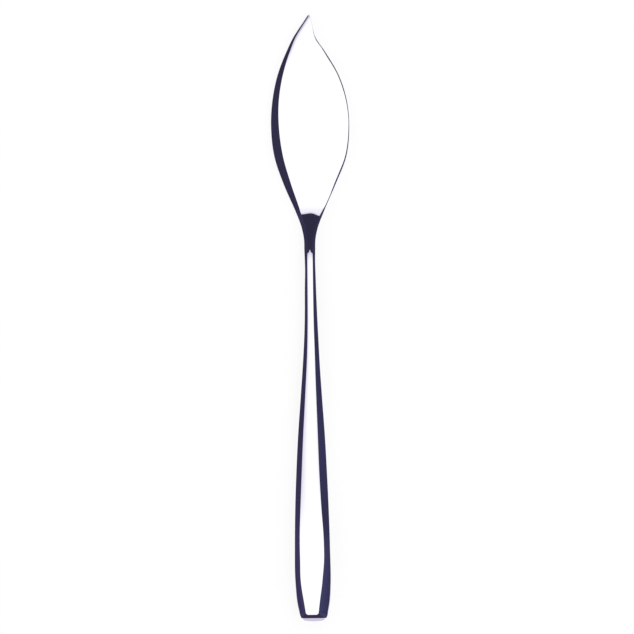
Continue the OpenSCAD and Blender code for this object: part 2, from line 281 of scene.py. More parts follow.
def butt_outline(hand):
    """Outline of one hand near the butt: its side, round corner and bowed end."""
    near = 0.01
    corner_half = float(edge_side(BUTT_Y + END_CORNER))
    side_lean = (float(edge_side(BUTT_Y + END_CORNER + near)) - corner_half) / near
    bow_lean = 4 * END_BOW / END_W
    run = (corner_half - END_W / 2 - side_lean * (END_CORNER - END_BOW)) / (1 - side_lean * bow_lean)
    start = np.array([corner_half, END_CORNER])
    middle = np.array([END_W / 2 + run, END_BOW + bow_lean * run])
    finish = np.array([END_W / 2, END_BOW])
    ys = np.linspace(OUTLINE_FROM, END_CORNER, OUTLINE_SIDE_STEPS, endpoint=False)
    side = [[float(edge_side(BUTT_Y + y)), y] for y in ys]
    corner = [bezier(start, middle, finish, t) for t in np.linspace(0, 1, OUTLINE_STEPS)]
    end = [[x, bow(x)] for x in np.linspace(END_W / 2, 0, OUTLINE_STEPS)[1:]]
    outline = np.array(side + corner + end)
    outline[:, 0] += hand * sway(outline[:, 1] + BUTT_Y)
    return outline


def half_outlines(hand):
    """Parting line, shoulder and facet rim of one hand, and the turn to the butt's end there."""
    low_end = FACET_END + FACET_CORNER
    ys = np.linspace(HANDLE_LEN, low_end, SIDE_ROWS + 1)
    rim_x = facet_half(BUTT_Y + ys) - hand * facet_shift(BUTT_Y + ys)
    part = [np.array(p) for p in zip(edge_side(BUTT_Y + ys) + hand * sway(BUTT_Y + ys), ys)]
    shoulder = list(part)
    facet = [np.array(p) for p in zip(rim_x, ys)]
    turn = [0.0] * len(ys)
    # Round the facet's corner the columns fan out to the outline or to the lip
    centre = np.array([rim_x[-1] - FACET_CORNER, low_end])
    outline = butt_outline(hand)
    turned = np.arctan2(centre[1] - outline[:, 1], outline[:, 0] - centre[0])
    far = np.linalg.norm(outline - centre, axis=1)
    lip = outline[outline[:, 1] < LIP_W][::-1]
    for k in range(1, CORNER_ROWS + 1):
        a = math.pi / 2 * k / CORNER_ROWS
        way = np.array([math.cos(a), -math.sin(a)])
        reach, lip_reach = float(np.interp(a, turned, far)), (centre[1] - LIP_W) / math.sin(a)
        h = centre + min(reach, lip_reach) * way
        facet.append(centre + FACET_CORNER * way)
        shoulder.append(h)
        part.append(np.array([h[0], np.interp(h[0], lip[:, 0], lip[:, 1])]) if lip_reach < reach else h)
        turn.append(k / CORNER_ROWS)
    for x in np.linspace(centre[0], 0, END_ROWS + 1)[1:]:
        facet.append(np.array([x, FACET_END]))
        shoulder.append(np.array([x, LIP_W]))
        part.append(np.array([x, np.interp(x, lip[:, 0], lip[:, 1])]))
        turn.append(1.0)
    return np.array(part), np.array(shoulder), np.array(facet), np.array(turn)


def unit(ways):
    return ways / np.linalg.norm(ways, axis=1, keepdims=True)


def to_3d(flat, z):
    return np.column_stack([flat[:, 0], flat[:, 1] + BUTT_Y, z])


def knife_y(flat):
    """Places along the whole knife of points whose y counts from the butt."""
    return flat[:, 1] + BUTT_Y


def facet_level(y, side):
    """Height of the facet's middle line, on the front (side 1) or the back (side -1)."""
    return thickness(y) * (1 + side) / 2 - side * mouth_roll(y)


def rim_share(y):
    """How far out the facet's rounded rim starts, as a share of its half width."""
    return 1 - CREASE_ROUND / facet_half(np.minimum(y, MOUTH_Y))


def shoulder_rise(shoulder, facet, turn):
    """Rise of the shoulder over the parting plane: less, the further it is from the facet's rim."""
    y = knife_y(shoulder)
    slope = steep(mix(SIDE_SLOPE, END_SLOPE, turn))
    return thickness(y) / 2 - mouth_roll(y) - np.linalg.norm(shoulder - facet, axis=1) * slope


def wall_columns(side, part, shoulder, turn, rise, ridge):
    """The plain wall and the lip's slope, and below, where the shoulder's round begins."""
    part_z = thickness(knife_y(part)) / 2
    lip_run = np.linalg.norm(shoulder - part, axis=1)
    lip_slope = steep(LIP_SLOPE - LIP_EASE * (1 - turn) ** 2)
    foot_rise = np.minimum(rise - lip_run * lip_slope, FOOT_LIMIT * rise)
    foot = to_3d(part, part_z + side * foot_rise)
    lip_middle = mix(foot, ridge, 0.5)
    lip_middle[:, :2] += (part - shoulder) * LIP_BULGE
    lip_middle[:, 2] += side * lip_run * LIP_BULGE
    below = ridge + unit(lip_middle - ridge) * SHOULDER_ROUND
    # The steps get shorter towards the ridge, so that its shading stays narrow
    steps = [1 - (1 - k / WALL_STEPS) ** 2 for k in range(WALL_STEPS)]
    return [to_3d(part, part_z)] + [bezier(foot, lip_middle, below, t) for t in steps], below


def slope_columns(side, shoulder, facet, ridge, below):
    """The shoulder's round, the sloping side and the round of the facet's rim."""
    rim_y = knife_y(facet)
    rim = to_3d(facet, facet_level(rim_y, side) - side * crown(rim_y))
    across = np.linalg.norm(rim - ridge, axis=1, keepdims=True)
    hump = mix(ridge, rim, 0.5)
    hump[:, 2] += side * SIDE_BULGE * across[:, 0]
    above = ridge + unit(hump - ridge) * SHOULDER_ROUND
    before = rim + unit(hump - rim) * np.minimum(CREASE_ROUND, across * HANDLE_ROUND_LIMIT)
    inside = facet + unit(facet - shoulder) * CREASE_ROUND
    inside_y = knife_y(inside)
    fall = crown(inside_y) * rim_share(inside_y) ** 2
    after = to_3d(inside, facet_level(inside_y, side) - side * fall)
    return ([bezier(below, ridge, above, k / ROUND_STEPS) for k in range(ROUND_STEPS + 1)]
            + [bezier(above, hump, before, k / SLOPE_STEPS) for k in range(1, SLOPE_STEPS + 1)]
            + [bezier(before, rim, after, k / ROUND_STEPS) for k in range(1, ROUND_STEPS + 1)])


def inner_columns(side, part, shoulder, facet, rise):
    """The inner skin, one wall inwards."""
    cut = WALL / math.cos(math.radians(SIDE_SLOPE))
    way = unit(facet - shoulder)
    low = part + unit(facet - part) * WALL
    bend = shoulder + way * WALL
    flat = facet + way * (cut - WALL)
    bend_rise = np.maximum(rise - cut + WALL * steep(SIDE_SLOPE), WALL / 2)
    return [to_3d(low, thickness(knife_y(low)) / 2),
            to_3d(bend, thickness(knife_y(bend)) / 2 + side * bend_rise),
            to_3d(flat, facet_level(knife_y(flat), side) - side * WALL)]


def half_profiles(side, hand):
    """Outer and inner columns of one half of a shell, as arrays [step][row][xyz]."""
    part, shoulder, facet, turn = half_outlines(hand)
    rise = shoulder_rise(shoulder, facet, turn)
    ridge = to_3d(shoulder, thickness(knife_y(shoulder)) / 2 + side * rise)
    wall, below = wall_columns(side, part, shoulder, turn, rise, ridge)
    outer = wall + slope_columns(side, shoulder, facet, ridge, below)
    return np.array(outer), np.array(inner_columns(side, part, shoulder, facet, rise))


def join_halves(right, left):
    """Puts the left half's columns after the right half's, and moves all to the axis."""
    left = left[:, -2::-1].copy()
    left[:, :, 0] *= -1
    full = np.concatenate([right, left], axis=1)
    full[:, :, 0] += AXIS_X
    return full


def skin_faces(ids, over):
    """Faces between the rows of a grid of points, turned over for the inner skin."""
    faces = []
    for j in range(len(ids) - 1):
        for i in range(len(ids[j]) - 1):
            quad = (ids[j][i], ids[j + 1][i], ids[j + 1][i + 1], ids[j][i + 1])
            faces.append(quad[::-1] if over else quad)
    return faces


def facet_rows(points, rim_points, rim, side):
    """Rows of points across the crowned facet, as many as the butt's end has; adds the new points."""
    across = 2 * (CORNER_ROWS + END_ROWS)
    last = len(rim) - 1
    rows = []
    for i in range(SIDE_ROWS + 1):
        right, left = rim_points[i], rim_points[last - i]
        fall = float(crown(right[1]) * rim_share(right[1]) ** 2)
        ids = [rim[i]]
        for k in range(1, across):
            p = mix(right, left, k / across)
            p[2] += side * fall * (1 - (2 * k / across - 1) ** 2)
            ids.append(len(points))
            points.append(p)
        rows.append(ids + [rim[last - i]])
    rows.append(list(rim[SIDE_ROWS:SIDE_ROWS + across + 1]))
    return rows


def mouth_faces(outer, inner, top):
    """The mouth's face between the outer and the inner skin, under the facet's first row."""
    corner = 1 + WALL_STEPS + ROUND_STEPS
    middle = len(top) // 2
    right, left, right_in, left_in = outer[:, 0], outer[:, -1], inner[:, 0], inner[:, -1]
    return [(right_in[0], right_in[1], *right[:corner + 1][::-1]),
            (right_in[1], right_in[2], *right[corner:][::-1]),
            (right_in[2], *top[:middle + 1][::-1]),
            (right_in[2], left_in[2], top[middle]),
            (left_in[2], *top[middle:][::-1]),
            (left_in[2], left_in[1], *left[corner:]),
            (left_in[1], left_in[0], *left[:corner + 1])]


def shell_mesh(name, side):
    halves = [half_profiles(side, hand) for hand in (1, -1)]
    outer, inner = (join_halves(halves[0][k], halves[1][k]) for k in (0, 1))
    turns = outer.shape[1]
    points = list(outer.reshape(-1, 3)) + list(inner.reshape(-1, 3))
    ids = np.arange(len(points)).reshape(-1, turns)
    outer_ids, inner_ids = ids[:len(outer)], ids[len(outer):]
    faces = skin_faces(outer_ids, False) + skin_faces(inner_ids, True)
    # The parting face between the two skins
    low, low_in = outer_ids[0], inner_ids[0]
    faces += [(low[i], low[i + 1], low_in[i + 1], low_in[i]) for i in range(turns - 1)]
    rows = facet_rows(points, outer[-1], outer_ids[-1], side)
    for upper, lower in zip(rows, rows[1:]):
        faces += [(upper[k], upper[k + 1], lower[k + 1], lower[k]) for k in range(len(upper) - 1)]
    # The inner flat behind the facet
    flat = inner_ids[2]
    faces += [(flat[i], flat[i + 1], flat[turns - 2 - i], flat[turns - 1 - i]) for i in range(SIDE_ROWS)]
    faces.append(flat[SIDE_ROWS:turns - SIDE_ROWS])
    faces += mouth_faces(outer_ids, inner_ids, rows[0])
    # A face names each point once, and the back shell's faces are turned over
    faces = [list(dict.fromkeys(int(i) for i in face)) for face in faces]
    return mesh_object(name, points, faces if side > 0 else [face[::-1] for face in faces])


# The blade's forging. Across a section, the flat ends at its rims; from there a
# bevel or a chamfer runs out to each side. x counts from the knife's axis.
# The crease at the root waves: its places along x, and how far past the root
# it lies there
CREASE_PLACES = [-4.9, -3.4, -2.6, -1.2, 0.2, 1.2, 2.2, 3.0, 3.8, 4.9]
CREASE_SHIFTS = [-0.6, -0.65, -0.72, -0.55, -0.38, -0.52, -0.9, -1.25, -1.2, -0.4]
crease_shift = smooth_curve(CREASE_PLACES, CREASE_SHIFTS)
CREASE_SOFT = 0.2
# A gentle slope that leads from the blade's flat into the crease
LEAD_SLOPE = 1.8
LEAD_LEN = 2.0
LEAD_SOFT = 0.6
# Length over which the neck's flat eases into the handle's facet at the mouth
MOUTH_BLEND = 0.3
# Width of the grind along the back, which opens into the neck's side near the
# root, from a place before it and over a length
GRIND_PLACES = [0, 0.05, 0.08, 0.12, 0.16, 0.22, 0.27, 0.34, 0.41, 0.47, 0.53,
                0.59, 0.63, 0.71, 0.75, 0.78, 0.82, 0.87, 0.89, 0.92, 0.96, 1]
GRIND_WIDTHS = [0.28, 0.3, 0.28, 0.43, 0.5, 0.53, 0.42, 0.33, 0.24, 0.19, 0.24,
                0.28, 0.34, 0.35, 0.4, 0.45, 0.35, 0.3, 0.16, 0.08, 0.03, 0.1]
back_grind = smooth_curve(along_blade(GRIND_PLACES), GRIND_WIDTHS)
OPEN_FROM = -1.3
OPEN_LEN = 4.4
# Largest parts of the blade's width that its bevel and its grind may take
BEVEL_LIMIT = 0.4
GRIND_LIMIT = 0.2
# The neck's sides are gentler than the handle's. They change over a length past
# the mouth, and change back over as much, from a little past the root.
NECK_SLOPE = 24
NECK_SLOPE_LEN = 4.0
NECK_SLOPE_PAST = 1.0
# Steepest angle of the ground bevel, and the deepest chamfer as a share of the
# height there
BEVEL_SLOPE = 27
CHAMFER_DEPTH = 0.62
# Near the tip the flat rolls off towards the bevel
ROLL_FALL = 0.042
ROLL_REACH = 1.2
ROLL_FROM = 21.0
ROLL_GROW = 12.0
# The sections lie closer along the root's crease, from its start to its end
# past the root, and grow closer towards the tip
CREASE_FROM = -1.5
CREASE_TO = 1.0
ROOT_TO = 5.0
TIP_CROWDING = 1.25
# How much closer the points of a section lie towards the flat's rims
RIM_CROWDING = 0.6


def soft_ramp(way, soft):
    return soft * np.logaddexp(0, way / soft)


def flat_height(x, y):
    """Half thickness of the flat at places x, y: blade, crease and neck."""
    blade_fall = (TIP_T - ROOT_T) / 2 / BLADE_LEN
    facet_fall = (BUTT_T - NECK_T) / 2 / HANDLE_LEN + steep(ROLL_SLOPE)
    blade = ROOT_T / 2 + blade_fall * (y - ROOT_Y)
    near = MOUTH_Y + MOUTH_BLEND / 2
    crease = ROOT_Y + crease_shift(np.clip(x, CREASE_PLACES[0], CREASE_PLACES[-1]))
    lead = ROOT_Y + LEAD_LEN
    # The ramp from crease to mouth makes up the height that the blade's plane
    # lacks there, and at the mouth it eases into the fall of the handle's facet
    missing = (NECK_T - ROOT_T) / 2 - float(mouth_roll(MOUTH_Y))
    missing = missing - facet_fall * MOUTH_BLEND / 2 + blade_fall * NECK_LEN
    ramp = (missing - steep(LEAD_SLOPE) * (lead - near)) / (crease - near)
    ease = np.clip(MOUTH_Y + MOUTH_BLEND - y, 0, MOUTH_BLEND) ** 2 / (2 * MOUTH_BLEND)
    return (blade + steep(LEAD_SLOPE) * (soft_ramp(lead - y, LEAD_SOFT) - ease)
            + ramp * (soft_ramp(crease - y, CREASE_SOFT) - ease) + facet_fall * ease)


def forging_rows():
    """Places of the sections: closer at the root's crease and towards the tip."""
    limits = [MOUTH_Y, ROOT_Y + CREASE_FROM, ROOT_Y + CREASE_TO, ROOT_Y + ROOT_TO]
    counts = [NECK_ROWS, CREASE_ROWS, ROOT_ROWS]
    runs = [np.linspace(a, b, n, endpoint=False) for a, b, n in zip(limits, limits[1:], counts)]
    tip = 1 - (1 - np.linspace(0, 1, BLADE_ROWS + 1)) ** TIP_CROWDING
    return np.concatenate(runs + [limits[-1] + (BLADE_LEN - ROOT_TO) * tip])


def neck_way(y):
    """How far along the neck a place is: 0 at the mouth, 1 from the root on."""
    return float(smooth_step((y - MOUTH_Y) / NECK_LEN))


def neck_side_slope(y):
    """Slope of the sides in degrees: gentler along the neck than on handle and blade."""
    on_neck = (smooth_step((y - MOUTH_Y) / NECK_SLOPE_LEN)
               * (1 - smooth_step((y - ROOT_Y - NECK_SLOPE_PAST) / NECK_SLOPE_LEN)))
    return mix(SIDE_SLOPE, NECK_SLOPE, float(on_neck))


def back_lean(y):
    """How far the back's outline runs aside for each millimetre along the knife."""
    near = 0.1
    return float(back_side(y + near) - back_side(y - near)) / (2 * near)


def section_reach(y):
    """Reach of the section's two sides from the axis, and places of its flat's two rims."""
    edge, back = float(edge_side(y) - sway(y)), float(back_side(y) + sway(y))
    on_blade = max(y, ROOT_Y)
    bevel = min(float(bevel_width(on_blade)), BEVEL_LIMIT * (edge + back))
    grind = min(float(back_grind(on_blade)), GRIND_LIMIT * (edge + back))
    # At the mouth the flat's rims meet those of the handle's facet
    gap = float(edge_side(MOUTH_Y) - facet_half(MOUTH_Y))
    aside = float(sway(MOUTH_Y) + facet_shift(MOUTH_Y))
    opened = 1 - float(smooth_step((y - ROOT_Y - OPEN_FROM) / OPEN_LEN))
    x_left = mix(gap - aside, bevel, neck_way(y)) - edge
    x_right = back - mix(grind, gap + aside, opened)
    return edge, back, x_left, x_right


def flat_curve(y, x_left, x_right):
    """The section's flat as a function of x, with the crown's fall and the roll-off."""
    fall = float(crown(y))
    roll = ROLL_FALL * float(smooth_step((y - TIP_Y + ROLL_FROM) / ROLL_GROW))

    def flat(x):
        s = (2 * x - x_left - x_right) / (x_right - x_left)
        near_edge = np.clip(1 - (x - x_left) / ROLL_REACH, 0, 1)
        return flat_height(x, y) - fall * s * s - roll * near_edge ** 2
    return flat


def section_slope(flat, bulge, rim, foot):
    """Points from near the flat's rim, over the rim, down the slope and round its foot."""
    long = np.linalg.norm(foot - rim)
    reach = min(CREASE_ROUND, long * BLADE_ROUND_LIMIT)
    turn = min(SHOULDER_ROUND, long * BLADE_ROUND_LIMIT, FOOT_ROUND_LIMIT * foot[1])
    hump = mix(rim, foot, 0.5) + np.array([0, bulge * long])
    x = rim[0] - math.copysign(reach, rim[0])
    start = np.array([x, float(flat(x))])
    over = rim + (hump - rim) * reach / np.linalg.norm(hump - rim)
    lead = foot + (hump - foot) * turn / np.linalg.norm(hump - foot)
    under = foot - np.array([0, turn])
    return ([bezier(start, rim, over, k / ROUND_STEPS) for k in range(ROUND_STEPS + 1)]
            + [bezier(over, hump, lead, k / SLOPE_STEPS) for k in range(1, SLOPE_STEPS + 1)]
            + [bezier(lead, foot, under, k / ROUND_STEPS) for k in range(1, ROUND_STEPS + 1)])


def blade_section(y):
    """Closed section of neck or blade: the front from right to left, then the back."""
    edge, back, x_left, x_right = section_reach(y)
    flat = flat_curve(y, x_left, x_right)
    z_left, z_right = float(flat(x_left)), float(flat(x_right))
    fall = float(crown(y))
    side_slope = neck_side_slope(y)
    left_slope = side_slope if y < ROOT_Y else BEVEL_SLOPE
    left_low = max(EDGE_T / 2, z_left + fall - (x_left + edge) * steep(left_slope))
    right_slope = steep(side_slope) / math.hypot(1, back_lean(y))
    right_low = z_right + fall - min((back - x_right) * right_slope, z_right * CHAMFER_DEPTH)
    bulge = (1 - neck_way(y)) * SIDE_BULGE
    right = section_slope(flat, bulge, np.array([x_right, z_right]), np.array([back, right_low]))
    left = section_slope(flat, bulge, np.array([x_left, z_left]), np.array([-edge, left_low]))
    t = np.linspace(0, 1, FLAT_STEPS + 1)[1:-1]
    xs = mix(right[0][0], left[0][0], mix(t, (1 - np.cos(math.pi * t)) / 2, RIM_CROWDING))
    front = right[::-1] + list(zip(xs, flat(xs))) + left
    section = front + [(x, -z) for x, z in front[::-1]]
    return np.array([[AXIS_X + x, y, NECK_T / 2 + z] for x, z in section])


# The tang narrows over a share of its length to a share of its width
TANG_POINT = 0.12
TANG_TIP = 0.4


def tang_outline():
    """Half widths of the notched tang and their places, from its end to the mouth."""
    end = MOUTH_Y - TANG_LEN
    point = end + TANG_POINT * TANG_LEN
    deep = TANG_W / 2 - NOTCH_DEPTH
    outline = [(TANG_TIP * TANG_W / 2, end), (TANG_W / 2, point)]
    for k in range(1, NOTCH_COUNT + 1):
        y = mix(point, MOUTH_Y, k / (NOTCH_COUNT + 1))
        outline += [(TANG_W / 2, y - NOTCH_LEN / 2), (deep, y - NOTCH_LEN / 4),
                    (deep, y + NOTCH_LEN / 4), (TANG_W / 2, y + NOTCH_LEN / 2)]
    return outline + [(TANG_W / 2, MOUTH_Y)]


def tang_sections(count):
    """Sections of the tang, a plain bar, with this many points."""
    # A quarter's points run up the bar's side to its corner, then over its flat
    quarter, corner = count // 4, count // 16
    k = np.arange(quarter)
    x = np.minimum(1, (quarter - k) / (quarter - corner + 1))
    z = TANG_T / 2 * np.minimum(1, (k + 1) / corner)
    xs, zs = np.concatenate([x, -x[::-1]]), np.concatenate([z, z[::-1]])
    xs, zs = np.concatenate([xs, xs[::-1]]), np.concatenate([zs, -zs[::-1]])
    return [np.column_stack([AXIS_X + half * xs, np.full(count, y), NECK_T / 2 + zs])
            for half, y in tang_outline()]


def forging_mesh(name):
    sections = [blade_section(y) for y in forging_rows()]
    n = len(sections[0])
    sections = tang_sections(n) + sections
    faces = []
    for i in range(len(sections) - 1):
        a, b = i * n, (i + 1) * n
        faces += [(a + j, b + j, b + (j + 1) % n, a + (j + 1) % n) for j in range(n)]
    # The tang's end is one face, the blade's tip a row of them
    faces.append(tuple(range(n)))
    last = (len(sections) - 1) * n
    for j in range(n // 2 - 1):
        faces.append((last + n - 1 - j, last + n - 2 - j, last + j + 1, last + j))
    return mesh_object(name, np.vstack(sections), faces)


def linear(red, green, blue):
    """A colour as it is seen, in steps of 255, as the linear colour of a node."""
    return tuple(((c / 255 + 0.055) / 1.055) ** 2.4 for c in (red, green, blue)) + (1.0,)


class Tree:
    """Short calls for a node tree: nodes with values or links at their inputs."""

    def __init__(self, tree):
        self.tree = tree

    def node(self, kind, inputs=(), **settings):
        node = self.tree.nodes.new(kind)
        for key, value in settings.items():
            setattr(node, key, value)
        for socket, value in dict(inputs).items():
            self.put(node.inputs[socket], value)
        return node

    def put(self, socket, value):
        if isinstance(value, bpy.types.NodeSocket):
            self.tree.links.new(value, socket)
        else:
            socket.default_value = value

    def math(self, operation, a, b=0.0):
        return self.node("ShaderNodeMath", {0: a, 1: b}, operation=operation).outputs[0]

    def ease(self, value, low, high, start=0.0, end=1.0, way="SMOOTHSTEP"):
        """From start, where value is low, smoothly to end, where it is high."""
        flip = low > high
        node = self.node("ShaderNodeMapRange", {
            "Value": value, "From Min": min(low, high), "From Max": max(low, high),
            "To Min": end if flip else start, "To Max": start if flip else end},
            interpolation_type=way)
        return node.outputs["Result"]

    def blend(self, share, a, b):
        node = self.node("ShaderNodeMix", {"Factor": share}, data_type="RGBA")
        colours = [s for s in node.inputs if s.type == "RGBA"]
        self.put(colours[0], a)
        self.put(colours[1], b)
        return next(s for s in node.outputs if s.type == "RGBA")

    def noise(self, scale, detail):
        """Noise that is stretched by three scales along the object's own axes."""
        place = self.node("ShaderNodeTexCoord").outputs["Object"]
        stretch = self.node("ShaderNodeMapping", {"Vector": place, "Scale": scale})
        node = self.node("ShaderNodeTexNoise",
                         {"Vector": stretch.outputs["Vector"], "Scale": 1.0, "Detail": detail})
        return node.outputs["Fac"]

    def seen_rays(self):
        """1 for rays that show a surface, straight or by a mirror or a glass."""
        path = self.node("ShaderNodeLightPath").outputs
        return self.math("MAXIMUM", self.math("MAXIMUM", path["Is Camera Ray"], path["Is Glossy Ray"]),
                         path["Is Transmission Ray"])


def new_material(name):
    material = bpy.data.materials.new(name)
    material.use_nodes = True
    return material, Tree(material.node_tree), material.node_tree.nodes["Principled BSDF"]


# Mirror-polished steel: how fine its haze and its hairlines are, per metre
# across and along the knife, and how deep the hairlines are, in millimetres
HAZE_SCALE = (900, 60, 900)
HAZE_RANGE = (0.3, 0.75)
HAZE_DETAIL = 6
HAIRLINE_SCALE = (4000, 150, 4000)
HAIRLINE_DETAIL = 3
HAIRLINE_DEPTH = 0.01
HAIRLINE_STRENGTH = 0.02
STEEL_DARK = (0.90, 0.895, 0.93, 1)
STEEL_LIGHT = (0.96, 0.955, 0.975, 1)
STEEL_ROUGHNESS = (0.03, 0.07)
# The two rough materials inside the handle
GRAIN_RANGE = (0.2, 0.8)
GRAIN_DETAIL = 8
GRAIN_DEPTH = 0.1
GRAIN_STRENGTH = 0.3
CEMENT = {"dark": (0.32, 0.31, 0.29, 1), "light": (0.52, 0.5, 0.47, 1),
          "scale": 700, "metallic": 0.0, "rough": (0.8, 0.95)}
PLAIN_STEEL = {"dark": (0.36, 0.36, 0.36, 1), "light": (0.56, 0.56, 0.56, 1),
               "scale": 900, "metallic": 1.0, "rough": (0.3, 0.5)}


def polished_steel():
    """Mirror-polished stainless steel with a faint haze and hairline marks along it."""
    material, tree, shader = new_material("polished_steel")
    haze = tree.noise(HAZE_SCALE, HAZE_DETAIL)
    lines = tree.noise(HAIRLINE_SCALE, HAIRLINE_DETAIL)
    bump = tree.node("ShaderNodeBump", {
        "Strength": HAIRLINE_STRENGTH, "Distance": HAIRLINE_DEPTH * MM, "Height": lines})
    tree.put(shader.inputs["Metallic"], 1.0)
    tree.put(shader.inputs["Base Color"], tree.blend(haze, STEEL_DARK, STEEL_LIGHT))
    tree.put(shader.inputs["Roughness"], tree.ease(haze, *HAZE_RANGE, *STEEL_ROUGHNESS))
    tree.put(shader.inputs["Normal"], bump.outputs["Normal"])
    return material


def rough_material(name, dark, light, scale, metallic, rough):
    material, tree, shader = new_material(name)
    grain = tree.noise((scale, scale, scale), GRAIN_DETAIL)
    bump = tree.node("ShaderNodeBump", {
        "Strength": GRAIN_STRENGTH, "Distance": GRAIN_DEPTH * MM, "Height": grain})
    tree.put(shader.inputs["Metallic"], metallic)
    tree.put(shader.inputs["Base Color"], tree.blend(grain, dark, light))
    tree.put(shader.inputs["Roughness"], tree.ease(grain, *GRAIN_RANGE, *rough))
    tree.put(shader.inputs["Normal"], bump.outputs["Normal"])
    return material


def dress_node(node, material):
    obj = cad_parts[node]
    obj.data.materials.clear()
    obj.data.materials.append(material)


# The floor: its half width in metres, and the share of plain white in it, for
# rays that show it
FLOOR_HALF = 6.0
FLOOR_GLOW = 0.8
FLOOR_ROUGHNESS = 0.9
WHITE = (1, 1, 1, 1)


def make_floor():
    mesh = bpy.data.meshes.new("floor")
    corners = [(x * FLOOR_HALF, y * FLOOR_HALF, 0) for x, y in ((-1, -1), (1, -1), (1, 1), (-1, 1))]
    mesh.from_pydata(corners, [], [(0, 1, 2, 3)])
    floor = bpy.data.objects.new("floor", mesh)
    bpy.context.scene.collection.objects.link(floor)
    material, tree, shader = new_material("white_floor")
    tree.put(shader.inputs["Base Color"], WHITE)
    tree.put(shader.inputs["Roughness"], FLOOR_ROUGHNESS)
    tree.put(shader.inputs["Specular IOR Level"], 0.0)
    glow = tree.node("ShaderNodeEmission", {"Color": WHITE, "Strength": 1.0})
    mixed = tree.node("ShaderNodeMixShader", {
        0: tree.math("MULTIPLY", tree.seen_rays(), FLOOR_GLOW), 1: shader.outputs["BSDF"],
        2: glow.outputs["Emission"]})
    tree.put(material.node_tree.nodes["Material Output"].inputs["Surface"], mixed.outputs["Shader"])
    mesh.materials.append(material)


# The flags: dark cards that close the studio round the knife, with one white
# window overhead, the pale room below their rims and grey room in the gaps
# past the tip and past the butt. As black cards do round polished metal, they
# stand only in reflections. Angles are in degrees from straight up, and
# bearings in degrees from the way to the tip. A way is 1 to the tip, 0 to the
# sides and -1 to the butt. A pair is where a change starts and where it ends.
# The radius is in metres.
TENT_RADIUS = 3.0
TENT_RINGS = 24
TENT_SECTORS = 48
WINDOW_LEFT = (-13.0, -1.0)
WINDOW_RIGHT = (13.0, 4.0)
WINDOW_BUTT = (-16.0, -9.0)
WINDOW_TIP = (10.6, 2.6)
WINDOW_WHITE = (1.12, 1.12, 1.12, 1)
# The window's edges take this tint at this share of their way to white
WINDOW_EDGE = linear(203, 198, 222)
EDGE_SHARE = 0.18
# The cards' tints, and where each gives way to the next
FLAG_ABOVE = linear(51, 49, 74)
FLAG_TIP = linear(46, 45, 66)
FLAG_LEFT = linear(54, 49, 79)
FLAG_RIGHT = linear(52, 50, 81)
FLAG_NEAR_LEFT = linear(62, 57, 90)
FLAG_NEAR_RIGHT = linear(64, 62, 96)
FLAG_BUTT_LEFT = linear(66, 60, 98)
FLAG_BUTT_RIGHT = linear(63, 68, 104)
FLAG_BUTT = linear(56, 48, 68)
FLAG_LOW = linear(50, 46, 76)
RIGHT_ANGLE = (-60.0, 60.0)
ABOVE_ANGLE = (35.0, 60.0)
LOW_ANGLE = (78.0, 84.0)
TIP_WAY = (0.3, 0.6)
NEAR_WAY = (0.065, -0.03)
CORNER_WAY = (-0.05, -0.25)
BUTT_WAY = (-0.3, -0.65)
# The gaps and the room that shows in them, darker overhead
GAP_TIP_ANGLE = (55.0, 61.0)
GAP_TIP_BEARING = (55.0, 47.0)
GAP_BUTT_ANGLE = (22.0, 32.0)
GAP_BUTT_BEARING = (127.0, 135.0)
ROOM_ANGLE = (30.0, 80.0)
ROOM_HIGH = linear(112, 108, 136)
ROOM_LOW = linear(198, 194, 214)
# A dark strip stays in the gap past the butt, for the handle's end and corners
STRIP_ANGLES = (2 * SIDE_SLOPE, 2 * END_SLOPE)
STRIP_HALF = (7.0, 11.0)
# The pale room below the cards' rims
RIM_ANGLE = (84.0, 86.0)
ROOM = linear(213, 205, 228)


def tent_mesh():
    """A dome over the knife, of rings and sectors."""
    points, faces = [], []
    for i in range(TENT_RINGS + 1):
        up = math.pi / 2 * i / TENT_RINGS
        for j in range(TENT_SECTORS):
            turn = 2 * math.pi * j / TENT_SECTORS
            points.append((TENT_RADIUS * math.sin(up) * math.cos(turn),
                           TENT_RADIUS * math.sin(up) * math.sin(turn),
                           TENT_RADIUS * math.cos(up)))
    for i in range(TENT_RINGS):
        a, b = i * TENT_SECTORS, (i + 1) * TENT_SECTORS
        for j in range(TENT_SECTORS):
            k = (j + 1) % TENT_SECTORS
            faces.append((a + j, b + j, b + k, a + k))
    mesh = bpy.data.meshes.new("tent")
    mesh.from_pydata(points, [], faces)
    mesh.validate()
    return mesh


def flag_colour(tree, tilt, tilt_x, way):
    """Tint of the dark cards by direction."""
    to_right = tree.ease(tilt_x, *RIGHT_ANGLE)
    sides = tree.blend(tree.ease(way, *NEAR_WAY), tree.blend(to_right, FLAG_LEFT, FLAG_RIGHT),
                       tree.blend(to_right, FLAG_NEAR_LEFT, FLAG_NEAR_RIGHT))
    sides = tree.blend(tree.ease(way, *CORNER_WAY), sides,
                       tree.blend(to_right, FLAG_BUTT_LEFT, FLAG_BUTT_RIGHT))
    sides = tree.blend(tree.ease(way, *BUTT_WAY), sides, FLAG_BUTT)
    above = tree.blend(tree.ease(way, *TIP_WAY), FLAG_ABOVE, FLAG_TIP)
    flags = tree.blend(tree.ease(tilt, *ABOVE_ANGLE), above, sides)
    return tree.blend(tree.ease(tilt, *LOW_ANGLE), flags, FLAG_LOW)


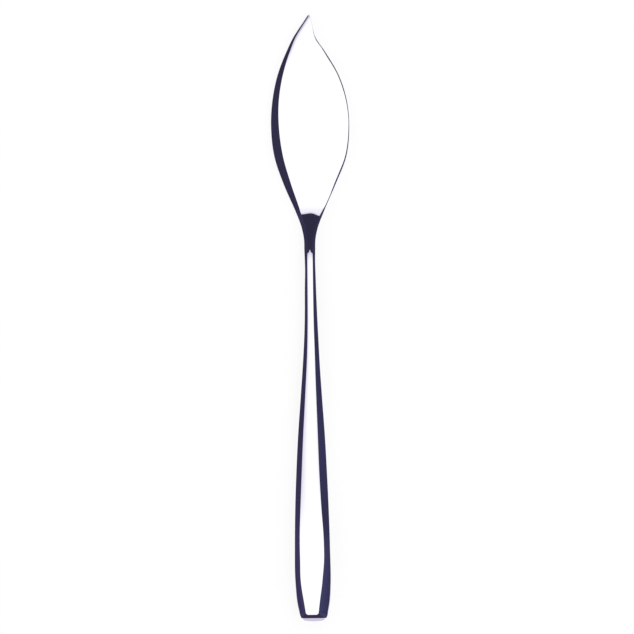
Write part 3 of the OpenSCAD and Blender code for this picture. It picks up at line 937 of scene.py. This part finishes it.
def gap_share(tree, tilt, bearing):
    """1 in the gaps between the cards, 0 on the cards and on the dark strip."""
    strip = tree.ease(bearing, 90.0, 180.0, *STRIP_ANGLES, way="LINEAR")
    off_strip = tree.ease(tree.math("ABSOLUTE", tree.math("SUBTRACT", tilt, strip)), *STRIP_HALF)
    past_tip = tree.math("MULTIPLY", tree.ease(tilt, *GAP_TIP_ANGLE),
                         tree.ease(bearing, *GAP_TIP_BEARING))
    past_butt = tree.math("MULTIPLY", tree.ease(tilt, *GAP_BUTT_ANGLE),
                          tree.ease(bearing, *GAP_BUTT_BEARING))
    return tree.math("ADD", past_tip, tree.math("MULTIPLY", past_butt, off_strip))


def window_share(tree, tilt_x, tilt_y):
    """1 in the middle of the window, falling to 0 over its four soft edges."""
    window = tree.ease(tilt_x, *WINDOW_LEFT)
    for angle, limits in ((tilt_x, WINDOW_RIGHT), (tilt_y, WINDOW_BUTT), (tilt_y, WINDOW_TIP)):
        window = tree.math("MULTIPLY", window, tree.ease(angle, *limits))
    return window


def tent_colour(tree):
    """Colour of the whole tent by direction."""
    place = tree.node("ShaderNodeTexCoord").outputs["Object"]
    parts = tree.node("ShaderNodeSeparateXYZ", {0: place}).outputs
    x, y, z = parts["X"], parts["Y"], parts["Z"]
    squares = [tree.math("MULTIPLY", v, v) for v in (x, y)]
    out = tree.math("SQRT", tree.math("ADD", *squares))

    def angle(a, b):
        return tree.math("MULTIPLY", tree.math("ARCTAN2", a, b), 180 / math.pi)

    tilt_x, tilt_y, tilt = (angle(v, z) for v in (x, y, out))
    bearing = angle(tree.math("ABSOLUTE", x), y)
    room = tree.blend(tree.ease(tilt, *ROOM_ANGLE), ROOM_HIGH, ROOM_LOW)
    colour = flag_colour(tree, tilt, tilt_x, tree.math("DIVIDE", y, out))
    colour = tree.blend(gap_share(tree, tilt, bearing), colour, room)
    colour = tree.blend(tree.ease(tilt, *RIM_ANGLE), colour, ROOM)
    window = window_share(tree, tilt_x, tilt_y)
    colour = tree.blend(tree.ease(window, 0.0, EDGE_SHARE), colour, WINDOW_EDGE)
    return tree.blend(tree.ease(window, EDGE_SHARE, 1.0, way="LINEAR"), colour, WINDOW_WHITE)


def make_tent():
    mesh = tent_mesh()
    tent = bpy.data.objects.new("tent", mesh)
    bpy.context.scene.collection.objects.link(tent)
    material, tree, shader = new_material("dark_flags")
    material.node_tree.nodes.remove(shader)
    glow = tree.node("ShaderNodeEmission", {"Color": tent_colour(tree)})
    tree.put(material.node_tree.nodes["Material Output"].inputs["Surface"], glow.outputs["Emission"])
    mesh.materials.append(material)
    tent.visible_camera = False
    tent.visible_diffuse = False
    tent.visible_shadow = False
    tent.visible_transmission = False


# How strongly the white sky lights the scene; where it is seen, it is full white
SKY_LIGHT = 0.92


def make_world():
    world = bpy.data.worlds.new("studio")
    bpy.context.scene.world = world
    world.use_nodes = True
    tree = Tree(world.node_tree)
    background = world.node_tree.nodes["Background"]
    tree.put(background.inputs["Color"], WHITE)
    tree.put(background.inputs["Strength"], tree.ease(tree.seen_rays(), 0.0, 1.0, SKY_LIGHT, 1.0))


# The lamp's place and size in metres, and its power in watts
LAMP_PLACE = (0.5, -0.4, 1.6)
LAMP_SIZE = 0.8
LAMP_POWER = 4.0


def make_lamp():
    data = bpy.data.lights.new("softbox", "AREA")
    data.shape = "SQUARE"
    data.size = LAMP_SIZE
    data.energy = LAMP_POWER
    lamp = bpy.data.objects.new("softbox", data)
    lamp.location = LAMP_PLACE
    lamp.rotation_euler = (-Vector(LAMP_PLACE)).to_track_quat("-Z", "Y").to_euler()
    lamp.visible_camera = False
    lamp.visible_glossy = False
    bpy.context.scene.collection.objects.link(lamp)


# The camera looks straight down from far above. The knife's two ends in the
# photograph, in its pixels from the top left corner, give scale and lean. The
# height is in metres over a level of the knife, that level and the sensor in
# millimetres.
PHOTO_SIDE = 634
BUTT_IN_PHOTO = (313.18, 621.0)
TIP_IN_PHOTO = (308.11, 14.7)
CAMERA_HEIGHT = 4.0
SENSOR = 36.0
FOCUS_Z = 3.0


def make_camera():
    run_x, run_y = TIP_IN_PHOTO[0] - BUTT_IN_PHOTO[0], BUTT_IN_PHOTO[1] - TIP_IN_PHOTO[1]
    pixel = (TIP_Y - BUTT_Y) * MM / math.hypot(run_x, run_y)
    lean = math.atan2(run_x, run_y)
    centre = PHOTO_SIDE / 2
    right = (centre - (TIP_IN_PHOTO[0] + BUTT_IN_PHOTO[0]) / 2) * pixel
    up = ((TIP_IN_PHOTO[1] + BUTT_IN_PHOTO[1]) / 2 - centre) * pixel
    data = bpy.data.cameras.new("camera")
    data.sensor_width = SENSOR
    data.lens = SENSOR * CAMERA_HEIGHT / (PHOTO_SIDE * pixel)
    camera = bpy.data.objects.new("camera", data)
    camera.location = (AXIS_X * MM + right * math.cos(lean) + up * math.sin(lean),
                       (BUTT_Y + TIP_Y) / 2 * MM - right * math.sin(lean) + up * math.cos(lean),
                       CAMERA_HEIGHT + FOCUS_Z * MM)
    camera.rotation_euler = (0, 0, lean)
    bpy.context.scene.collection.objects.link(camera)
    bpy.context.scene.camera = camera


steel = polished_steel()
for piece, node in ((forging_mesh("polished_blade"), "blade"),
                    (shell_mesh("polished_front_shell", 1), "handle_front_shell"),
                    (shell_mesh("polished_back_shell", -1), "handle_back_shell")):
    piece.data.materials.append(steel)
    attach(piece, "root")
    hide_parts(node)
dress_node("handle_cement", rough_material("filling_cement", **CEMENT))
dress_node("balance_weight", rough_material("plain_steel", **PLAIN_STEEL))
make_floor()
make_tent()
make_world()
make_lamp()
make_camera()
bpy.context.scene.view_settings.view_transform = "Standard"
